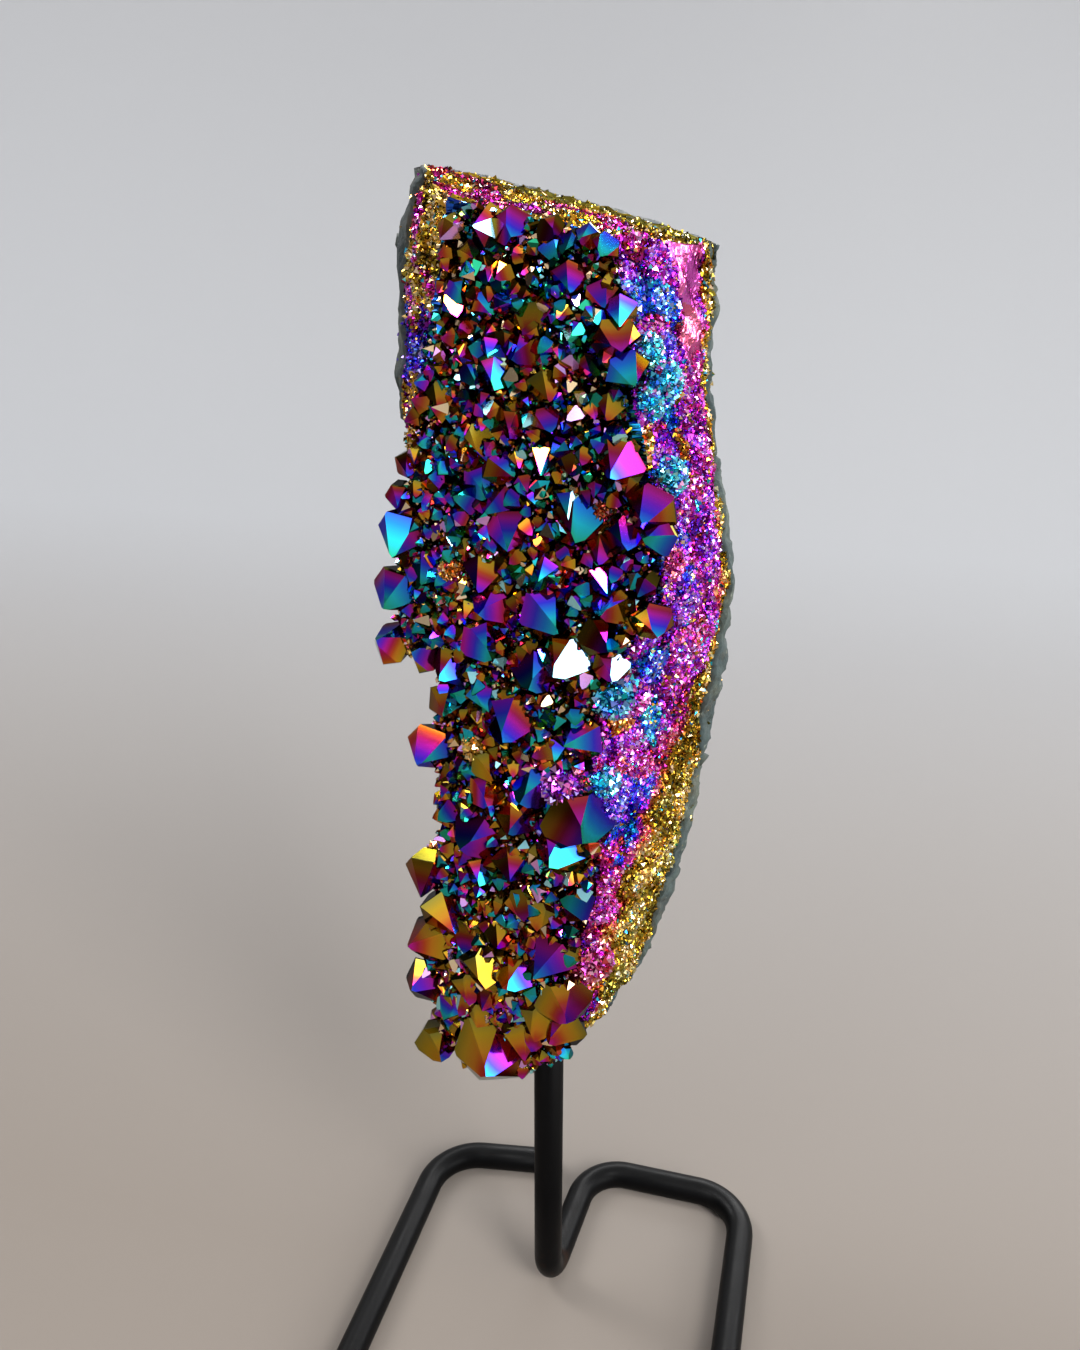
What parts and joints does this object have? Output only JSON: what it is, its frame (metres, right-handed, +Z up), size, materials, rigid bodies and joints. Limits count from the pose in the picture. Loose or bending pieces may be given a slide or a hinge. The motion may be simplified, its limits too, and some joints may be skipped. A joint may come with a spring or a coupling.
{
  "type": "aura quartz cluster on stand",
  "caption": "Upright slab of geode crust covered with rainbow-coated quartz points, held on a post that rises from a square base bent from round black rod.",
  "frame": {"origin": "middle of the square base, on the surface that the base rests on", "axes": "+Z up along the post and the cluster, -Y towards the side with the quartz points, +X to the right as seen from there"},
  "size_m": [0.081, 0.081, 0.229],
  "materials": {
    "aura_quartz": "mirror-bright titanium film in bands of gold, magenta, violet, blue and teal",
    "black_powder_coat": "satin black powder coat"
  },
  "bodies": {
    "root": {"crystal_cluster": "aura_quartz", "stand_rod": "black_powder_coat"}
  },
  "joints": []
}
